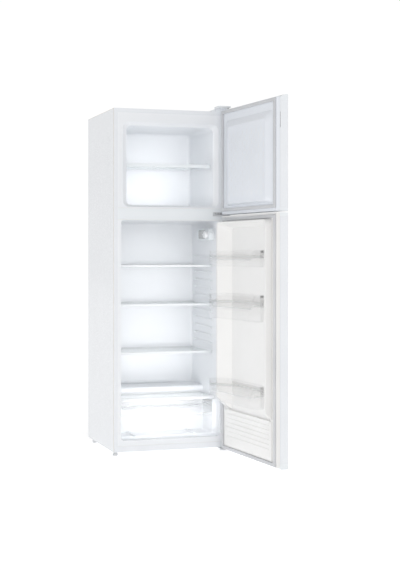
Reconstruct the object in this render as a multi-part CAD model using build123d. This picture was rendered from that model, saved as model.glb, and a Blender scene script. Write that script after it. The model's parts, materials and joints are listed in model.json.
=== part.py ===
from build123d import *

import os

# Two-door top freezer refrigerator, in millimetres, standing with both doors open.
# X points to the right, Y to the back and Z up.  The origin is on the floor, at mid-width
# and mid-depth of the cabinet.  "Depth" below is counted back from the cabinet's front plane.

# ---- cabinet ------------------------------------------------------------------------------
WIDTH = 545.0
CABINET_DEPTH = 482.0
TOP = 1571.0
BOTTOM = 17.0                 # underside of the cabinet; feet fill the rest
SHEET = 0.8                   # steel sheet
WALL = 1.6                    # thermoformed liner
FLANGE = 19.5                 # width of the steel flange round the front
REAR_FLANGE = 36.0
SIDE = WIDTH / 2
FRONT = -CABINET_DEPTH / 2

# ---- compartments -------------------------------------------------------------------------
FREEZER_HALF = 208.0
FREEZER_LOW = 1134.0
FREEZER_HIGH = 1495.0
FREEZER_REAR = 350.0
LIP_DEPTH = 15.0              # depth of the sloped lip round the freezer mouth
FRIDGE_HALF = 233.0
FRIDGE_MOUTH_HALF = 237.0
FRIDGE_LOW = 70.0
FRIDGE_HIGH = 1062.0
FRIDGE_REAR = 385.0
MOUTH_DEPTH = 70.0            # the fridge mouth tapers inwards over this depth
HUMP_DEPTH = 232.0            # front of the step that clears the compressor
HUMP_TOP = 282.0
MULLION_LOW = 1068.0
MULLION_HIGH = 1120.5
APRON_TOP = 44.0
BAY_DEPTH = 284.0             # front of the compressor bay
BAY_TOP = 236.0
FOAM_REAR = 468.0

# ---- shelf rails on the fridge side walls -------------------------------------------------
RAIL_PITCH = 36.75
RAIL_LOWEST = 461.0
RAIL_COUNT = 13
RAIL_HEIGHT = 8.0
RAIL_PROUD = 4.0
RAIL_SLOPE = 1.6              # degrees, falling towards the front
RAIL_FRONT = 100.0
RAIL_REAR = 326.0

# ---- shelves ------------------------------------------------------------------------------
GLASS = 4.0
SHELF_FRONT = 94.0
SHELF_REAR = 368.0
SHELF_HALF = 231.0
SHELF_TOPS = {"upper": 860.0, "middle": 679.0, "lower": 457.0}
FREEZER_SHELF_TOP = 1327.0
FREEZER_SHELF_FRONT = 50.0
FREEZER_SHELF_REAR = 335.0
FREEZER_SHELF_HALF = 205.0
COVER_TOP = 250.0
COVER_FRONT = 58.0
COVER_REAR = 229.0
CRISPER_HALF = 225.0
CRISPER_LOW = 76.0
CRISPER_HIGH = 234.0
CRISPER_WALL = 2.4
TRIM_DEPTH = 12.0             # a shelf's front and rear edging, front to back
TRIM_DROP = 7.0               # the rear edging's underside below the shelf's top
COVER_LEDGE = 222.0
EASE = 0.2                    # clearance under what slides

# ---- doors --------------------------------------------------------------------------------
DOOR_GAP = 8.0                # cabinet front plane to the doors' inner plane
DOOR_THICKNESS = 57.5
RIM = 15.6                    # depth of the liner's rim; the steel skin starts past it
SKIN_START = 16.2
DOOR_CORNER = 8.0
OPEN_ANGLE = 94.6
PIN_INSET = 8.0               # hinge pin from the door's hinge end
PIN_BACK = 29.0               # hinge pin from the door's inner plane
PIN_RADIUS = 4.0
BORE_RADIUS = 4.05
PIN_X = SIDE - PIN_INSET
PIN_DEPTH = -(DOOR_GAP + PIN_BACK)
FREEZER_DOOR_LOW = 1092.5
FREEZER_DOOR_HIGH = TOP
DOOR_CREST = 1583.5           # outer edge of the freezer door's top
FRIDGE_DOOR_LOW = BOTTOM
FRIDGE_DOOR_SOLE = 8.0        # outer edge of the fridge door's bottom
FRIDGE_DOOR_HIGH = 1086.5
CAP = 14.0
GRIP_LOW = 1444.0             # finger recess in the freezer door's free end
GRIP_LENGTH = 64.0
GRIP_WIDTH = 3.0
GRIP_REACH = 5.0
GASKET_FREE = 7.6             # how far the gasket stands off the door's inner plane
GASKET_WIDTH = 15.0
DYKE_HINGE = 50.0             # height of the fridge door liner's ridge by the hinges
DYKE_FREE = 30.0              # and at the free end, which has to swing clear of the cabinet
DYKE_START, DYKE_END = 44.0, 506.0     # from the hinge end to the free end
DYKE_LOW = 212.0              # where the ridge meets the inner plane, at its foot
DYKE_HIGH = 1061.0
FREEZER_GASKET_LOW, FREEZER_GASKET_HIGH = 1106.0, 1568.0      # clears the middle hinge's flange
FRIDGE_GASKET_LOW, FRIDGE_GASKET_HIGH = 20.0, 1078.0
PLINTH = 18.0                 # height of the raised panel on the freezer door liner
LINER_SKIN = 2.0

# ---- door bins ----------------------------------------------------------------------------
BIN_REACH = 92.0              # from the door's inner plane to the bin's front, by the hinges
BIN_REACH_FREE = 76.0         # and at the free end
BIN_WALL = 2.2
BIN_DROP = 56.0               # the front wall is lower beyond this distance from the inner plane
BINS = {
    "upper_door_bin": (857.0, 910.0, 927.0),
    "middle_door_bin": (624.0, 716.0, 736.0),
    "bottle_bin": (256.0, 338.0, 350.0),
}

parts = {}


def block(x0, x1, d0, d1, z0, z1):
    """A box between two X, two depths and two Z values."""
    centre = ((x0 + x1) / 2, FRONT + (d0 + d1) / 2, (z0 + z1) / 2)
    return Pos(*centre) * Box(abs(x1 - x0), abs(d1 - d0), abs(z1 - z0))


def rod(x, depth, z0, z1, radius):
    """A vertical cylinder."""
    return Pos(x, FRONT + depth, (z0 + z1) / 2) * Cylinder(radius, abs(z1 - z0))


def rounded(shape, axis, radius):
    """The shape with every edge that runs along the axis rounded."""
    return fillet(shape.edges().filter_by(axis), radius)


def mouth(half_x, z0, z1, depth, radius):
    """A rounded rectangle facing the front, for lofting."""
    plane = Plane(origin=(0, FRONT + depth, (z0 + z1) / 2), x_dir=(1, 0, 0), z_dir=(0, 1, 0))
    return plane * RectangleRounded(2 * half_x, z1 - z0, radius)


def tube(points, radius, bend):
    """A round tube along straight runs joined by arcs."""
    path = FilletPolyline(*[(x, FRONT + d, z) for x, d, z in points], radius=bend)
    return sweep(Plane(origin=path @ 0, z_dir=path % 0) * Circle(radius), path=path)


# ---- cabinet liners -----------------------------------------------------------------------
def freezer_cavity(grow):
    """The freezer compartment with its sloped lip, grown all round by the liner's thickness."""
    half = FREEZER_HALF + grow
    low = FREEZER_LOW - grow
    high = FREEZER_HIGH + grow
    room = block(-half, half, LIP_DEPTH - 5, FREEZER_REAR + grow, low, high)
    room = rounded(room, Axis.Y, 22 + grow)
    room = fillet(room.faces().sort_by(Axis.Y)[-1].edges(), 18)
    lip = loft([
        mouth(229.5 + grow, 1125.5 - grow, 1510.0 + grow, 0, 30 + grow),
        mouth(half, low, high, LIP_DEPTH + grow / 2, 22 + grow),
    ])
    return room + lip


def fridge_cavity(grow):
    """The fresh food compartment with the step over the compressor bay."""
    half = FRIDGE_HALF + grow
    low = FRIDGE_LOW - grow
    high = FRIDGE_HIGH + grow
    room = rounded(block(-half, half, 60, FRIDGE_REAR + grow, low, high), Axis.Y, 14 + grow)
    room = fillet(room.faces().sort_by(Axis.Y)[-1].edges(), 13)
    taper = loft([
        mouth(FRIDGE_MOUTH_HALF + grow, 68.0 - grow, 1065.0 + grow, 0, 14 + grow),
        mouth(half, low, high, MOUTH_DEPTH, 14 + grow),
    ])
    hump = block(-260, 260, HUMP_DEPTH + grow, 420, 40, HUMP_TOP - grow)
    edge = hump.edges().filter_by(Axis.X).sort_by(Axis.Y)[:2].sort_by(Axis.Z)[-1]
    hump = fillet(edge, 12)
    return room + taper - hump


def rails():
    """The rows of shelf rails, each with a stop at its rear end."""
    bars = []
    middle = (RAIL_FRONT + RAIL_REAR) / 2
    length = RAIL_REAR - RAIL_FRONT
    for side in (-1, 1):
        wall = side * (FRIDGE_HALF - RAIL_PROUD / 2 + 0.4)
        for k in range(RAIL_COUNT):
            z = RAIL_LOWEST + RAIL_PITCH * k
            if any(abs(z - top) < 12 for top in SHELF_TOPS.values()):
                continue
            bar = Box(RAIL_PROUD + 0.8, length, RAIL_HEIGHT)
            bar = fillet(bar.edges().filter_by(Axis.Y), 1.5)
            bars.append(Pos(wall, FRONT + middle, z - 3) * Rot(RAIL_SLOPE, 0, 0) * bar)
            stop = Pos(wall - side * 1.5, FRONT + RAIL_REAR + 6, z) * Box(RAIL_PROUD + 3.8, 24, 9)
            bars.append(fillet(stop.edges().filter_by(Axis.X), 3.5))
        rear = side * (FRIDGE_HALF + 0.8)
        for top in SHELF_TOPS.values():
            inner = side * (FRIDGE_HALF - RAIL_PROUD)
            z = top - TRIM_DROP - EASE
            bars.append(block(inner, rear, SHELF_FRONT + TRIM_DEPTH + 1, 350, z - RAIL_HEIGHT, z))
        z = COVER_TOP - TRIM_DROP - EASE
        bars.append(block(side * COVER_LEDGE, rear, COVER_FRONT + TRIM_DEPTH + 2, HUMP_DEPTH, z - 6, z))
        bars.append(block(side * 140, side * 148, 90, 226, FRIDGE_LOW - 0.8, CRISPER_LOW - EASE))
    return bars


freezer_solid = freezer_cavity(WALL)
fridge_solid = fridge_cavity(WALL)
inner_x = SIDE - FLANGE
liner_top = TOP - FLANGE

freezer_face = block(-inner_x, inner_x, 0, WALL, MULLION_HIGH + 0.4, liner_top)
freezer_liner = freezer_face + freezer_solid - freezer_cavity(0)
for side in (-1, 1):
    z = FREEZER_SHELF_TOP - TRIM_DROP - EASE
    freezer_liner += block(side * (FREEZER_HALF - 5), side * (FREEZER_HALF + 0.8),
                           FREEZER_SHELF_FRONT + TRIM_DEPTH + 2, FREEZER_REAR - 20, z - 6, z)
parts["freezer_liner"] = freezer_liner

fridge_face = block(-inner_x, inner_x, 0, WALL, APRON_TOP + 0.4, MULLION_LOW - 0.4)
fridge_liner = fridge_face + fridge_solid - fridge_cavity(0)
for bar in rails():
    fridge_liner += bar
gutter = block(-150, 150, FRIDGE_REAR - 9, FRIDGE_REAR + 0.8, HUMP_TOP + 6, HUMP_TOP + 12)
fridge_liner += gutter
DRAIN_X = 40.0
DRAIN_DEPTH = 366.0
fridge_liner -= rod(DRAIN_X, DRAIN_DEPTH, HUMP_TOP - 5, HUMP_TOP + 3, 4)
parts["fridge_liner"] = fridge_liner
parts["mullion_cover"] = block(-inner_x, inner_x, 0, WALL, MULLION_LOW, MULLION_HIGH)

# ---- steel cabinet ------------------------------------------------------------------------
wrapper = block(-SIDE, SIDE, 0, CABINET_DEPTH, BOTTOM, TOP)
corner_edges = wrapper.edges().filter_by(Axis.Z).sort_by(Axis.Y)[:2]
top_edges = wrapper.edges().filter_by(Axis.Y).sort_by(Axis.Z)[-2:]
wrapper = fillet(corner_edges + top_edges, 4)
inside = block(-SIDE + SHEET, SIDE - SHEET, SHEET, CABINET_DEPTH + 1, BOTTOM - 1, TOP - SHEET)
doorway = block(-inner_x, inner_x, -1, SHEET + 1, BOTTOM - 1, liner_top)
outer_shell = wrapper - inside - doorway
rear_plane = CABINET_DEPTH - SHEET
for side in (-1, 1):
    x = sorted((side * (SIDE - 0.4), side * (SIDE - REAR_FLANGE)))
    outer_shell += block(x[0], x[1], rear_plane, CABINET_DEPTH, BOTTOM, TOP - 2)
outer_shell += block(-SIDE + 1, SIDE - 1, rear_plane, CABINET_DEPTH, TOP - 22, TOP - 0.4)
parts["outer_shell"] = outer_shell

back_half = SIDE - REAR_FLANGE + 14
panel_rear = rear_plane - 0.2
back_panel = block(-back_half, back_half, panel_rear - SHEET, panel_rear, BAY_TOP + 2, TOP - 8)
RIB_RISE = 3.0
for z in (420, 640, 860, 1080, 1300):
    rib = block(-190, 190, panel_rear - RIB_RISE, panel_rear - SHEET + 0.1, z - 14, z + 14)
    back_panel += rounded(rib, Axis.Y, 13)
parts["back_panel"] = back_panel

floor_half = SIDE - SHEET - 0.2
bay_half = FRIDGE_HALF + WALL - 0.4
base_plate = block(-inner_x, inner_x, 0, 1, BOTTOM, APRON_TOP)
base_plate += block(-floor_half, floor_half, SHEET + 0.2, BAY_DEPTH + 1, BOTTOM, BOTTOM + 1)
base_plate += block(-bay_half, bay_half, BAY_DEPTH, BAY_DEPTH + 1, BOTTOM, BAY_TOP)
base_plate += block(-bay_half, bay_half, BAY_DEPTH, 478, BAY_TOP - 1, BAY_TOP)
for side in (-1, 1):
    x = sorted((side * bay_half, side * floor_half))
    base_plate += block(x[0], x[1], BAY_DEPTH, 478, BOTTOM, BOTTOM + 1)
DRAIN_RADIUS = 8.0
base_plate -= rod(DRAIN_X, DRAIN_DEPTH, BAY_TOP - 3, BAY_TOP + 2, DRAIN_RADIUS + 0.2)
FOOT_X = 258.0
FOOT_DEPTH = 24.0
FOOT_STUD = 4.0
for side in (-1, 1):
    base_plate -= rod(side * FOOT_X, FOOT_DEPTH, BOTTOM - 1, BOTTOM + 2, FOOT_STUD + 0.5)
parts["base_plate"] = base_plate

rail_front = 326.0
rail_rear = 474.0
compressor_rail = block(-bay_half + 0.5, bay_half - 0.5, rail_front, rail_rear, BOTTOM, BOTTOM + 2)
for depth in (rail_front, rail_rear - 2):
    compressor_rail += block(-bay_half + 0.5, bay_half - 0.5, depth, depth + 2, BOTTOM, BOTTOM + 11)
parts["compressor_rail"] = compressor_rail

# ---- foam insulation ----------------------------------------------------------------------
foam_half = SIDE - SHEET
foam_x = FRIDGE_HALF + WALL
mullion_low = FRIDGE_HIGH + WALL
mullion_high = FREEZER_LOW - WALL
top_foam = block(-foam_half, foam_half, 2, FOAM_REAR, FREEZER_HIGH + WALL, TOP - SHEET - 0.2)
top_foam -= freezer_solid
mullion_foam = block(-foam_half, foam_half, 2, FOAM_REAR, mullion_low, mullion_high)
mullion_foam -= freezer_solid + fridge_solid
parts["insulation_top_and_mullion"] = Compound(children=[top_foam.solid(), mullion_foam.solid()])


def mirrored_pair(half_x, d0, d1, z0, z1, cut):
    """Two blocks, left and right, that fill the cabinet's side walls."""
    left = block(-foam_half, -half_x, d0, d1, z0, z1) - cut
    right = block(half_x, foam_half, d0, d1, z0, z1) - cut
    return Compound(children=[left.solid(), right.solid()])


stud_hole = rod(FOOT_X, FOOT_DEPTH, BOTTOM, 60, FOOT_STUD + 1)
stud_hole += rod(-FOOT_X, FOOT_DEPTH, BOTTOM, 60, FOOT_STUD + 1)
freezer_x = FREEZER_HALF + WALL
parts["insulation_freezer_sides"] = mirrored_pair(
    freezer_x, 2, FREEZER_REAR + WALL, mullion_high, FREEZER_HIGH + WALL, freezer_solid)
parts["insulation_fridge_sides"] = mirrored_pair(
    foam_x, 2, FOAM_REAR, BOTTOM + 1.2, mullion_low, fridge_solid + stud_hole)

COIL_GAP = 11.0               # pocket behind the freezer liner for the evaporator
freezer_back = block(-foam_half, foam_half, FREEZER_REAR + WALL + COIL_GAP, FOAM_REAR,
                     mullion_high, FREEZER_HIGH + WALL)
fridge_back = block(-foam_x, foam_x, FRIDGE_REAR + WALL, FOAM_REAR, HUMP_TOP, mullion_low)
parts["insulation_back"] = Compound(children=[freezer_back, fridge_back])

floor_foam = block(-foam_x, foam_x, 2, BAY_DEPTH - 0.2, BOTTOM + 1.2, FRIDGE_LOW - WALL)
floor_foam += block(-foam_x, foam_x, HUMP_DEPTH + WALL, BAY_DEPTH - 0.2, 60, HUMP_TOP)
floor_foam += block(-foam_x, foam_x, HUMP_DEPTH + WALL, FOAM_REAR, BAY_TOP + 0.2, HUMP_TOP)
floor_foam -= fridge_solid
floor_foam -= rod(DRAIN_X, DRAIN_DEPTH, BAY_TOP - 2, HUMP_TOP + 2, DRAIN_RADIUS + 0.2)
parts["insulation_floor"] = floor_foam

# ---- refrigeration circuit ----------------------------------------------------------------
COMPRESSOR_X = 70.0
COMPRESSOR_DEPTH = 396.0
GROMMET_TOP = 30.0
BELT = 69.0                   # the seam round the pot
POT_TOP = 178.0
pot = rod(COMPRESSOR_X, COMPRESSOR_DEPTH, GROMMET_TOP + 4, POT_TOP, 66)
pot = fillet(pot.edges().filter_by(GeomType.CIRCLE), 26)
pot += rod(COMPRESSOR_X, COMPRESSOR_DEPTH, 100, 106, BELT)
plate = block(COMPRESSOR_X - 84, COMPRESSOR_X + 84, 346, 446, GROMMET_TOP, GROMMET_TOP + 3)
pot += rounded(plate, Axis.Z, 14)
pot += rod(COMPRESSOR_X, COMPRESSOR_DEPTH, GROMMET_TOP, GROMMET_TOP + 30, 40)
parts["compressor"] = pot

grommets = []
for x in (COMPRESSOR_X - 68, COMPRESSOR_X + 68):
    for depth in (360, 432):
        grommet = rod(x, depth, BOTTOM + 2, GROMMET_TOP, 11) - rod(x, depth, 0, 50, 4)
        grommets.append(grommet.solid())
parts["compressor_grommets"] = Compound(children=grommets)

relay = block(COMPRESSOR_X - 112, COMPRESSOR_X - 62, 366, 426, 62, 128)
relay = fillet(relay.edges().filter_by(Axis.Z), 6)
parts["relay_cover"] = relay - rod(COMPRESSOR_X, COMPRESSOR_DEPTH, 50, 140, BELT)

COIL_DEPTH = 473.0
coil_points = [(-215, COIL_DEPTH, 300)]
for row in range(13):
    z = 300 + 95 * row
    ends = (-215, 215) if row % 2 == 0 else (215, -215)
    if row:
        coil_points.append((ends[0], COIL_DEPTH, z))
    coil_points.append((ends[1], COIL_DEPTH, z))
parts["condenser_coil"] = tube(coil_points, 2.4, 30)

EVAPORATOR_DEPTH = FREEZER_REAR + WALL + COIL_GAP / 2
evaporator_points = [(-180, EVAPORATOR_DEPTH, 1160)]
for row in range(7):
    z = 1160 + 50 * row
    ends = (-180, 180) if row % 2 == 0 else (180, -180)
    if row:
        evaporator_points.append((ends[0], EVAPORATOR_DEPTH, z))
    evaporator_points.append((ends[1], EVAPORATOR_DEPTH, z))
parts["evaporator_coil"] = tube(evaporator_points, 4, 22)

DRIER_X = -120.0
drier = rod(DRIER_X, 420, 70, 180, 9)
drier = fillet(drier.edges().filter_by(GeomType.CIRCLE), 5)
parts["filter_drier"] = drier

suction = tube([(COMPRESSOR_X + 40, 425, POT_TOP), (COMPRESSOR_X + 40, 425, 214),
                (180, 452, 214), (180, 452, 60)], 4, 9)
discharge = tube([(DRIER_X, 420, 70), (DRIER_X, 420, 38), (-60, 452, 38),
                  (-60, 452, 218)], 2.5, 9)
parts["refrigerant_lines"] = Compound(children=[suction.solid(), discharge.solid()])

tray = block(COMPRESSOR_X - 78, COMPRESSOR_X + 30, 344, 452, POT_TOP, POT_TOP + 26)
tray = rounded(tray, Axis.Z, 10)
tray_inside = block(COMPRESSOR_X - 76, COMPRESSOR_X + 28, 346, 450, POT_TOP + 2, POT_TOP + 30)
tray -= rounded(tray_inside, Axis.Z, 8)
parts["drip_tray"] = tray

drain = rod(DRAIN_X, DRAIN_DEPTH, 198, HUMP_TOP - WALL, DRAIN_RADIUS)
drain -= rod(DRAIN_X, DRAIN_DEPTH, 190, HUMP_TOP + 5, DRAIN_RADIUS - 2)
parts["drain_tube"] = drain

gland = rod(-200, 452, BOTTOM + 2, BOTTOM + 18, 9) - rod(-200, 452, BOTTOM, BOTTOM + 20, 4)
parts["mains_inlet_gland"] = gland

# ---- thermostat, lamp and door switch -----------------------------------------------------
CONTROL_LOW = 975.0
CONTROL_HIGH = 1032.0
CONTROL_WALL = FRIDGE_HALF - 0.2
CONTROL_FACE = 208.0
LENS_X = 203.0
CONTROL_FRONT = 66.0
CONTROL_REAR = 292.0
housing_plan = [(CONTROL_FACE, CONTROL_FRONT), (CONTROL_WALL, CONTROL_FRONT), (CONTROL_WALL, CONTROL_REAR),
                (CONTROL_WALL - 5, CONTROL_REAR), (CONTROL_FACE, CONTROL_REAR - 50)]
housing_plan = [(x, FRONT + depth) for x, depth in housing_plan]
housing_foot = Plane.XY.offset(CONTROL_LOW) * make_face(Polyline(*housing_plan, close=True))
housing = extrude(housing_foot, amount=CONTROL_HIGH - CONTROL_LOW)
housing = fillet(housing.edges().filter_by(Axis.X), 12)
LENS_FRONT = 126.0
LENS_REAR = 216.0
housing -= block(CONTROL_FACE - 1, CONTROL_FACE + 15, LENS_FRONT + 4, LENS_REAR - 4, 988, 1022)
KNOB_DEPTH = 98.0
KNOB_Z = 1003.0
KNOB_RADIUS = 17.0


def across(x0, x1, depth, z, radius):
    """A cylinder along X."""
    centre = ((x0 + x1) / 2, FRONT + depth, z)
    return Pos(*centre) * Rot(0, 90, 0) * Cylinder(radius, abs(x1 - x0))


def fore_aft(x, d0, d1, z, radius):
    """A cylinder along Y."""
    centre = (x, FRONT + (d0 + d1) / 2, z)
    return Pos(*centre) * Rot(90, 0, 0) * Cylinder(radius, abs(d1 - d0))


housing -= across(CONTROL_FACE - 1, CONTROL_FACE + 9, KNOB_DEPTH, KNOB_Z, 3.05)
SWITCH_X = 222.0
SWITCH_Z = 1010.0
housing -= fore_aft(SWITCH_X, CONTROL_FRONT - 1, CONTROL_FRONT + 11, SWITCH_Z, 4.1)
parts["control_housing"] = housing

lens = block(LENS_X, CONTROL_FACE, LENS_FRONT, LENS_REAR, 984, 1026)
lens = fillet(lens.faces().sort_by(Axis.X)[0].edges(), 4)
lens -= block(LENS_X + 1.6, CONTROL_FACE + 1, LENS_FRONT + 3, LENS_REAR - 3, 987, 1023)
parts["lamp_cover"] = lens

parts["lamp_bulb"] = fore_aft(CONTROL_FACE + 7, LENS_FRONT + 12, LENS_REAR - 4, 1005, 5.5)

knob = across(192, CONTROL_FACE - 0.5, KNOB_DEPTH, KNOB_Z, KNOB_RADIUS)
knob = chamfer(knob.edges().filter_by(GeomType.CIRCLE).sort_by(Axis.X)[0], 1.5)
grip = block(188.5, 193, KNOB_DEPTH - 14, KNOB_DEPTH + 14, KNOB_Z - 2.5, KNOB_Z + 2.5)
knob += rounded(grip, Axis.X, 2.4)
knob += across(CONTROL_FACE - 1, CONTROL_FACE + 7, KNOB_DEPTH, KNOB_Z, 3)
parts["thermostat_knob"] = knob

plunger = fore_aft(SWITCH_X, CONTROL_FRONT - 20, CONTROL_FRONT + 4, SWITCH_Z, 4)
parts["door_switch_button"] = fillet(plunger.edges().filter_by(GeomType.CIRCLE).sort_by(Axis.Y)[0], 1.5)


# ---- shelves and crisper ------------------------------------------------------------------
def shelf(name, half, d0, d1, top, trim_low):
    """A glass plate with a moulded front trim and rear edging."""
    parts[name + "_glass"] = block(-half + 3, half - 3, d0 + 4, d1 - 4, top - GLASS, top)
    front = block(-half, half, d0, d0 + TRIM_DEPTH, trim_low, top + 1)
    front = rounded(front, Axis.X, 1.8)
    front -= block(-half + 3, half - 3, d0 + 4, d0 + TRIM_DEPTH + 1, top - GLASS, top + 2)
    rear = block(-half, half, d1 - TRIM_DEPTH, d1, top - TRIM_DROP, top + 4)
    rear -= block(-half + 3, half - 3, d1 - TRIM_DEPTH - 1, d1 - 4, top - GLASS, top + 5)
    parts[name + "_trims"] = Compound(children=[front.solid(), rear.solid()])


for label, top in SHELF_TOPS.items():
    shelf(label + "_shelf", SHELF_HALF, SHELF_FRONT, SHELF_REAR, top, top - 9)
shelf("freezer_shelf", FREEZER_SHELF_HALF, FREEZER_SHELF_FRONT, FREEZER_SHELF_REAR,
      FREEZER_SHELF_TOP, FREEZER_SHELF_TOP - 14)
shelf("crisper_cover", CRISPER_HALF + 1, COVER_FRONT, COVER_REAR, COVER_TOP, COVER_TOP - 13)

crisper = block(-CRISPER_HALF, CRISPER_HALF, 62, 226, CRISPER_LOW, CRISPER_HIGH)
crisper = rounded(crisper, Axis.Z, 10)
lower_edges = crisper.faces().sort_by(Axis.Z)[0].edges()
crisper = fillet(lower_edges, 7)
hollow = block(-CRISPER_HALF + CRISPER_WALL, CRISPER_HALF - CRISPER_WALL,
               62 + CRISPER_WALL, 226 - CRISPER_WALL, CRISPER_LOW + CRISPER_WALL, 260)
crisper -= rounded(hollow, Axis.Z, 8)
brow = block(-CRISPER_HALF + 4, CRISPER_HALF - 4, 54, 63, CRISPER_HIGH - 10, CRISPER_HIGH)
crisper += brow
for z in (213, 190, 158):
    crisper += block(-CRISPER_HALF + 12, CRISPER_HALF - 12, 60.4, 62.5, z - 1.5, z + 1.5)
parts["crisper_drawer"] = crisper


# ---- doors --------------------------------------------------------------------------------
def panel(u0, u1, t0, t1, z0, z1):
    """A block on a closed door: U from the hinge end, T out from the inner plane."""
    x0 = SIDE - u1
    x1 = SIDE - u0
    return block(x0, x1, -DOOR_GAP - t1, -DOOR_GAP - t0, z0, z1)


def prism_up(points, z0, z1):
    """A vertical prism on a closed door from points (U, height over the inner plane)."""
    outline = [(SIDE - u, FRONT - DOOR_GAP + p) for u, p in points]
    face = Plane.XY.offset(z0) * make_face(Polyline(*outline, close=True))
    return extrude(face, amount=z1 - z0)


def prism_across(points, u0, u1):
    """A prism along the door's width from points (T, Z)."""
    plane = Plane(origin=(SIDE - u1, 0, 0), x_dir=(0, 1, 0), z_dir=(1, 0, 0))
    outline = [(FRONT - DOOR_GAP - t, z) for t, z in points]
    return extrude(plane * make_face(Polyline(*outline, close=True)), amount=u1 - u0)


def swung(shape):
    """Turn a closed door's piece about the hinge pins to the open position."""
    return shape.rotate(Axis((PIN_X, FRONT + PIN_DEPTH, 0), (0, 0, 1)), OPEN_ANGLE)


def door_outline(z0, z1):
    """The outer prism of a door with its two outer vertical edges rounded."""
    body = panel(0, WIDTH, SKIN_START, DOOR_THICKNESS, z0, z1)
    edges = body.edges().filter_by(Axis.Z).sort_by(Axis.Y)[:2]
    return fillet(edges, DOOR_CORNER)


def door_skin(z0, z1):
    """The painted steel pan."""
    inner = panel(SHEET, WIDTH - SHEET, SKIN_START - 1, DOOR_THICKNESS - SHEET, z0 - 1, z1 + 1)
    edges = inner.edges().filter_by(Axis.Z).sort_by(Axis.Y)[:2]
    return door_outline(z0, z1) - fillet(edges, DOOR_CORNER - SHEET)


def grip_block(grow):
    """The finger recess in the freezer door's free end, grown by the sheet's thickness."""
    return panel(WIDTH - GRIP_REACH - grow, WIDTH + 1, SKIN_START - 1, SKIN_START + GRIP_WIDTH + grow,
                 GRIP_LOW - grow, GRIP_LOW + GRIP_LENGTH + grow)


def rim_block(z0, z1):
    """The liner's shallow rim, flat on the inner plane."""
    body = panel(0, WIDTH, 0, RIM, z0, z1)
    return fillet(body.faces().sort_by(Axis.Y)[-1].edges(), 2)


def gasket(z0, z1):
    """A square ring that stands off the inner plane."""
    hinge_edge = PIN_INSET + 1
    outer = panel(hinge_edge, WIDTH - 5, -GASKET_FREE, 0, z0, z1)
    inner = panel(hinge_edge + GASKET_WIDTH, WIDTH - 5 - GASKET_WIDTH, -GASKET_FREE - 1, 1,
                  z0 + GASKET_WIDTH, z1 - GASKET_WIDTH)
    lips = outer.faces().sort_by(Axis.Y)[-1].edges()
    return fillet(lips, 2.5) - inner


def pin_bore(z0, z1):
    """The bore in an end cap that turns on a hinge pin."""
    return rod(PIN_X, PIN_DEPTH, z0, z1, BORE_RADIUS)


def liner_ring(u0, u1, z0, z1, height, radius):
    """A rounded rectangle at a height over a closed door's inner plane, for lofting."""
    centre = (SIDE - (u0 + u1) / 2, FRONT - DOOR_GAP + height, (z0 + z1) / 2)
    plane = Plane(origin=centre, x_dir=(1, 0, 0), z_dir=(0, 1, 0))
    return plane * RectangleRounded(u1 - u0, z1 - z0, radius)


def plinth(inset):
    """The raised panel of the freezer door liner."""
    base = liner_ring(44 + inset, 515 - inset, 1130 + inset, 1520 - inset, 0, 20)
    crown = liner_ring(98 + inset, 475 - inset, 1138 + inset, 1487 - inset, PLINTH - inset, 24)
    body = loft([base, crown])
    if inset:
        return body + extrude(base, amount=-3)
    return fillet(body.faces().sort_by(Axis.Y)[-1].edges(), 3)


def dykes(inset):
    """The fridge door liner's ridge up both sides and across the top, higher by the hinges."""
    root = 3 if inset else 1
    low = DYKE_LOW
    crest = DYKE_HINGE + 6
    start, end, high = DYKE_START + inset, DYKE_END - inset, DYKE_HIGH - inset
    outside = loft([
        liner_ring(start, end, 100, high, -root, 22),
        liner_ring(start + 3, end - 6, 100, high - 5, crest, 22),
    ])
    valley = loft([
        liner_ring(113 - inset, 461 + inset, 60, 1029 + inset, -root - 1, 24),
        liner_ring(52 - inset, 511 + inset, 60, 1060 + inset, crest + 1, 24),
    ])
    hinge_top = DYKE_HINGE - inset
    free_top = DYKE_FREE - inset
    below_crest = prism_up([(30, -root - 2), (30, hinge_top), (60, hinge_top), (480, free_top),
                            (520, free_top), (520, -root - 2)], 90, 1070)
    foot = [(root + 1, low - 130), (-crest - 1, low - 130), (-crest - 1, low + 57 + inset),
            (0, low + inset), (root + 1, low + inset)]
    return (outside & below_crest) - valley - prism_across(foot, 30, 520)


def kick_field(inset):
    """The lower, ribbed field of the fridge door liner."""
    root = 3 if inset else 1
    field = panel(DYKE_START + inset, DYKE_END - inset, -6 + inset, root, 38 + inset, 205 - inset)
    if inset:
        return field
    return chamfer(field.faces().sort_by(Axis.Y)[-1].edges(), 3)


def shell_of(z0, z1, raised, raised_inside):
    """A thin liner from its outer shapes and the foam's shapes inside them."""
    outer = rim_block(z0, z1)
    for shape in raised:
        outer += shape
    hollow = panel(LINER_SKIN, WIDTH - LINER_SKIN, LINER_SKIN, RIM + 1,
                   z0 + LINER_SKIN, z1 - LINER_SKIN)
    for shape in raised_inside:
        hollow += shape
    return outer - hollow


def foam_of(z0, z1, raised_inside):
    """The foam core between the end caps."""
    core = panel(LINER_SKIN + 0.2, WIDTH - LINER_SKIN - 0.2, LINER_SKIN + 0.1,
                 DOOR_THICKNESS - SHEET - 0.2, z0, z1)
    edges = core.edges().filter_by(Axis.Z).sort_by(Axis.Y)[:2]
    core = fillet(edges, DOOR_CORNER)
    for shape in raised_inside:
        core += shape
    return core


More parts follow.
